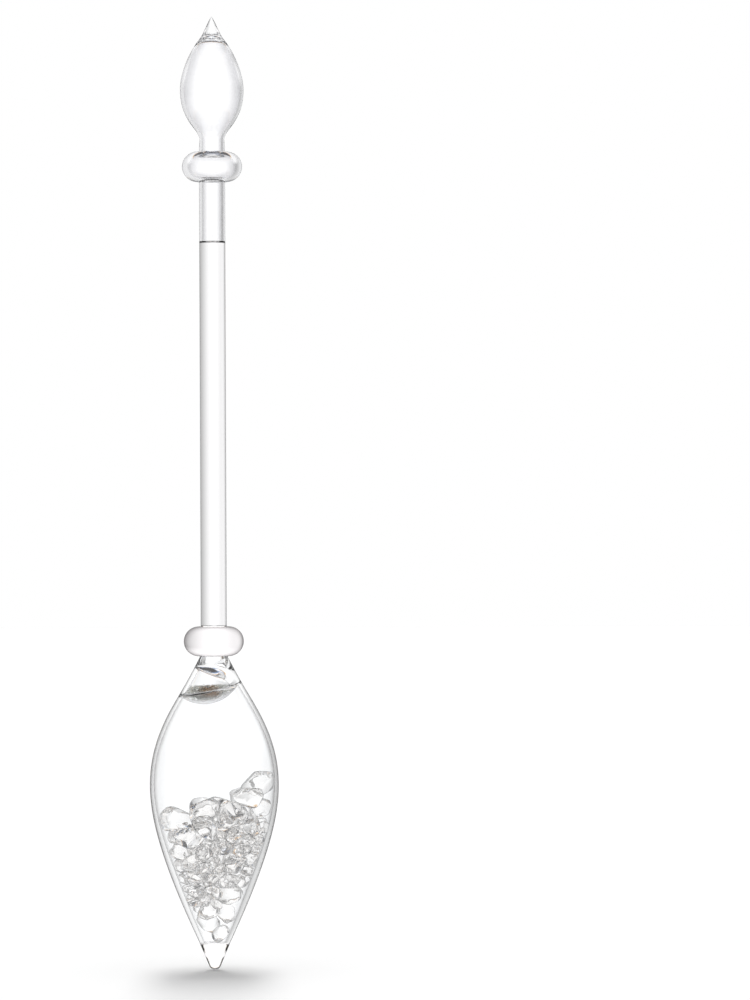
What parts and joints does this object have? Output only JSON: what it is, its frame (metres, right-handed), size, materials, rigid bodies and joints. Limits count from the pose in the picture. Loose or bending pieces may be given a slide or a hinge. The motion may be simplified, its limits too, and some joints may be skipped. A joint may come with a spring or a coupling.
{
  "type": "crystal water wand",
  "caption": "Sealed clear-glass wand: a spindle-shaped vial of loose rock-crystal chips, drawn to a point, on a long glass stem with bulged rings and a hollow pointed finial.",
  "frame": {"origin": "lowest point of the vial's tip, on the wand's axis", "axes": "+Z along the wand's axis from the vial's tip to the finial; +X towards the side where the heap of chips is highest"},
  "size_m": [0.0446, 0.0446, 0.33],
  "materials": {
    "clear_glass": "clear colourless blown glass, fire-polished",
    "rock_crystal": "clear rock crystal, tumbled to a polish",
    "splinters": "fine pale grey-green crystal splinters, golden brown in the middle"
  },
  "bodies": {
    "wand": {"vial_tip": "clear_glass", "vial_body": "clear_glass", "chamber_bowl": "clear_glass", "neck_gather": "clear_glass", "lower_collar": "clear_glass", "stem_rod": "clear_glass", "upper_tube": "clear_glass", "upper_collar": "clear_glass", "finial_bulb": "clear_glass", "finial_tip": "clear_glass", "crystal_01": "rock_crystal", "crystal_02": "rock_crystal", "crystal_03": "rock_crystal", "crystal_04": "rock_crystal", "crystal_05": "rock_crystal", "crystal_06": "rock_crystal", "crystal_07": "rock_crystal", "crystal_08": "rock_crystal", "crystal_09": "rock_crystal", "crystal_10": "rock_crystal", "crystal_11": "rock_crystal", "crystal_12": "rock_crystal", "crystal_13": "rock_crystal", "crystal_14": "rock_crystal", "crystal_15": "rock_crystal", "crystal_16": "rock_crystal", "crystal_17": "rock_crystal", "crystal_18": "rock_crystal", "crystal_19": "rock_crystal", "crystal_20": "rock_crystal", "crystal_21": "rock_crystal", "crystal_22": "rock_crystal", "crystal_23": "rock_crystal", "crystal_24": "rock_crystal", "crystal_25": "rock_crystal", "crystal_26": "rock_crystal", "crystal_27": "rock_crystal", "crystal_28": "rock_crystal", "crystal_29": "rock_crystal", "crystal_30": "rock_crystal", "crystal_31": "rock_crystal", "crystal_32": "rock_crystal", "crystal_33": "rock_crystal", "small_chips_1": "rock_crystal", "small_chips_2": "rock_crystal", "small_chips_3": "rock_crystal", "small_chips_4": "rock_crystal", "small_chips_5": "rock_crystal", "diamond_splinters": "splinters"},
    "loose_crystal_01": {"top_crystal_01": "rock_crystal"},
    "loose_crystal_02": {"top_crystal_02": "rock_crystal"},
    "loose_crystal_03": {"top_crystal_03": "rock_crystal"},
    "loose_crystal_04": {"top_crystal_04": "rock_crystal"},
    "loose_crystal_05": {"top_crystal_05": "rock_crystal"}
  },
  "joints": [
    {"name": "top_crystal_01_slide", "type": "slide", "parent": "wand", "child": "loose_crystal_01", "axis": [0, 0, 1], "range_m": [0, 0.022]},
    {"name": "top_crystal_02_slide", "type": "slide", "parent": "wand", "child": "loose_crystal_02", "axis": [0, 0, 1], "range_m": [0, 0.033]},
    {"name": "top_crystal_03_slide", "type": "slide", "parent": "wand", "child": "loose_crystal_03", "axis": [0, 0, 1], "range_m": [0, 0.0135]},
    {"name": "top_crystal_04_slide", "type": "slide", "parent": "wand", "child": "loose_crystal_04", "axis": [0, 0, 1], "range_m": [0, 0.0335]},
    {"name": "top_crystal_05_slide", "type": "slide", "parent": "wand", "child": "loose_crystal_05", "axis": [0, 0, 1], "range_m": [0, 0.0075]}
  ]
}
